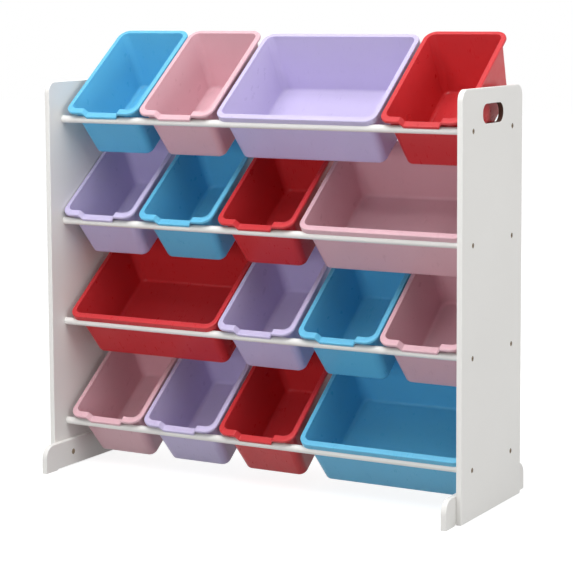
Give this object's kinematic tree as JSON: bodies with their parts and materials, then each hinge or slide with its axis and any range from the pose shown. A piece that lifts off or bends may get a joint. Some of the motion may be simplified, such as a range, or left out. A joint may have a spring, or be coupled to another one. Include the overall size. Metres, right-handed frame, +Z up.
{
  "type": "toy storage organizer with bins",
  "caption": "Free-standing four-tier rack of two side panels and round rods that carries tilted lift-out plastic bins for toys.",
  "frame": {"origin": "on the floor, under the middle of the rack", "axes": "+X along the rods towards the viewer's right, +Y from the front to the back, +Z up; the bins open towards -Y and +Z"},
  "size_m": [1.07, 0.417, 1.0367],
  "materials": {
    "white_board": "satin white paint on board",
    "white_rod": "satin white paint on round rod",
    "blue_plastic": "semi-gloss moulded",
    "pink_plastic": "semi-gloss moulded",
    "lilac_plastic": "semi-gloss moulded",
    "red_plastic": "semi-gloss moulded",
    "screw_steel": "dull bronze-toned plating",
    "insert_brass": "turned"
  },
  "bodies": {
    "frame": {"left_side_panel": "white_board", "right_side_panel": "white_board", "left_foot_board": "white_board", "right_foot_board": "white_board", "front_rod_1": "white_rod", "rear_rod_1": "white_rod", "front_rod_2": "white_rod", "rear_rod_2": "white_rod", "front_rod_3": "white_rod", "rear_rod_3": "white_rod", "front_rod_4": "white_rod", "rear_rod_4": "white_rod", "rod_screws_left": "screw_steel", "foot_bolts_left": "screw_steel", "rod_screws_right": "screw_steel", "foot_bolts_right": "screw_steel", "rod_inserts_left": "insert_brass", "foot_nuts_left": "insert_brass", "rod_inserts_right": "insert_brass", "foot_nuts_right": "insert_brass"},
    "blue_bin_tier1_1": {"blue_bin_tier1_1": "blue_plastic"},
    "pink_bin_tier1_2": {"pink_bin_tier1_2": "pink_plastic"},
    "lilac_bin_tier1_3": {"lilac_bin_tier1_3": "lilac_plastic"},
    "red_bin_tier1_4": {"red_bin_tier1_4": "red_plastic"},
    "lilac_bin_tier2_1": {"lilac_bin_tier2_1": "lilac_plastic"},
    "blue_bin_tier2_2": {"blue_bin_tier2_2": "blue_plastic"},
    "red_bin_tier2_3": {"red_bin_tier2_3": "red_plastic"},
    "pink_bin_tier2_4": {"pink_bin_tier2_4": "pink_plastic"},
    "red_bin_tier3_1": {"red_bin_tier3_1": "red_plastic"},
    "lilac_bin_tier3_2": {"lilac_bin_tier3_2": "lilac_plastic"},
    "blue_bin_tier3_3": {"blue_bin_tier3_3": "blue_plastic"},
    "pink_bin_tier3_4": {"pink_bin_tier3_4": "pink_plastic"},
    "pink_bin_tier4_1": {"pink_bin_tier4_1": "pink_plastic"},
    "lilac_bin_tier4_2": {"lilac_bin_tier4_2": "lilac_plastic"},
    "red_bin_tier4_3": {"red_bin_tier4_3": "red_plastic"},
    "blue_bin_tier4_4": {"blue_bin_tier4_4": "blue_plastic"}
  },
  "joints": [
    {"name": "blue_bin_tier1_1_lift", "type": "hinge", "parent": "frame", "child": "blue_bin_tier1_1", "pos_m": [-0.40666, 0.10321, 0.832], "axis": [-1, 0, 0], "range_deg": [0, 35]},
    {"name": "pink_bin_tier1_2_lift", "type": "hinge", "parent": "frame", "child": "pink_bin_tier1_2", "pos_m": [-0.20422, 0.10321, 0.832], "axis": [-1, 0, 0], "range_deg": [0, 35]},
    {"name": "lilac_bin_tier1_3_lift", "type": "hinge", "parent": "frame", "child": "lilac_bin_tier1_3", "pos_m": [0.10552, 0.10321, 0.832], "axis": [-1, 0, 0], "range_deg": [0, 35]},
    {"name": "red_bin_tier1_4_lift", "type": "hinge", "parent": "frame", "child": "red_bin_tier1_4", "pos_m": [0.41827, 0.10321, 0.832], "axis": [-1, 0, 0], "range_deg": [0, 35]},
    {"name": "lilac_bin_tier2_1_lift", "type": "hinge", "parent": "frame", "child": "lilac_bin_tier2_1", "pos_m": [-0.42128, 0.10321, 0.591], "axis": [-1, 0, 0], "range_deg": [0, 35]},
    {"name": "blue_bin_tier2_2_lift", "type": "hinge", "parent": "frame", "child": "blue_bin_tier2_2", "pos_m": [-0.20852, 0.10321, 0.591], "axis": [-1, 0, 0], "range_deg": [0, 35]},
    {"name": "red_bin_tier2_3_lift", "type": "hinge", "parent": "frame", "child": "red_bin_tier2_3", "pos_m": [0.00553, 0.10321, 0.591], "axis": [-1, 0, 0], "range_deg": [0, 35]},
    {"name": "pink_bin_tier2_4_lift", "type": "hinge", "parent": "frame", "child": "pink_bin_tier2_4", "pos_m": [0.31785, 0.10321, 0.591], "axis": [-1, 0, 0], "range_deg": [0, 35]},
    {"name": "red_bin_tier3_1_lift", "type": "hinge", "parent": "frame", "child": "red_bin_tier3_1", "pos_m": [-0.30452, 0.10321, 0.35], "axis": [-1, 0, 0], "range_deg": [0, 35]},
    {"name": "lilac_bin_tier3_2_lift", "type": "hinge", "parent": "frame", "child": "lilac_bin_tier3_2", "pos_m": [0.00307, 0.10321, 0.35], "axis": [-1, 0, 0], "range_deg": [0, 35]},
    {"name": "blue_bin_tier3_3_lift", "type": "hinge", "parent": "frame", "child": "blue_bin_tier3_3", "pos_m": [0.21325, 0.10321, 0.35], "axis": [-1, 0, 0], "range_deg": [0, 35]},
    {"name": "pink_bin_tier3_4_lift", "type": "hinge", "parent": "frame", "child": "pink_bin_tier3_4", "pos_m": [0.41569, 0.10321, 0.35], "axis": [-1, 0, 0], "range_deg": [0, 35]},
    {"name": "pink_bin_tier4_1_lift", "type": "hinge", "parent": "frame", "child": "pink_bin_tier4_1", "pos_m": [-0.40666, 0.10321, 0.109], "axis": [-1, 0, 0], "range_deg": [0, 35]},
    {"name": "lilac_bin_tier4_2_lift", "type": "hinge", "parent": "frame", "child": "lilac_bin_tier4_2", "pos_m": [-0.20164, 0.10321, 0.109], "axis": [-1, 0, 0], "range_deg": [0, 35]},
    {"name": "red_bin_tier4_3_lift", "type": "hinge", "parent": "frame", "child": "red_bin_tier4_3", "pos_m": [0.00424, 0.10321, 0.109], "axis": [-1, 0, 0], "range_deg": [0, 35]},
    {"name": "blue_bin_tier4_4_lift", "type": "hinge", "parent": "frame", "child": "blue_bin_tier4_4", "pos_m": [0.31699, 0.10321, 0.109], "axis": [-1, 0, 0], "range_deg": [0, 35]}
  ]
}
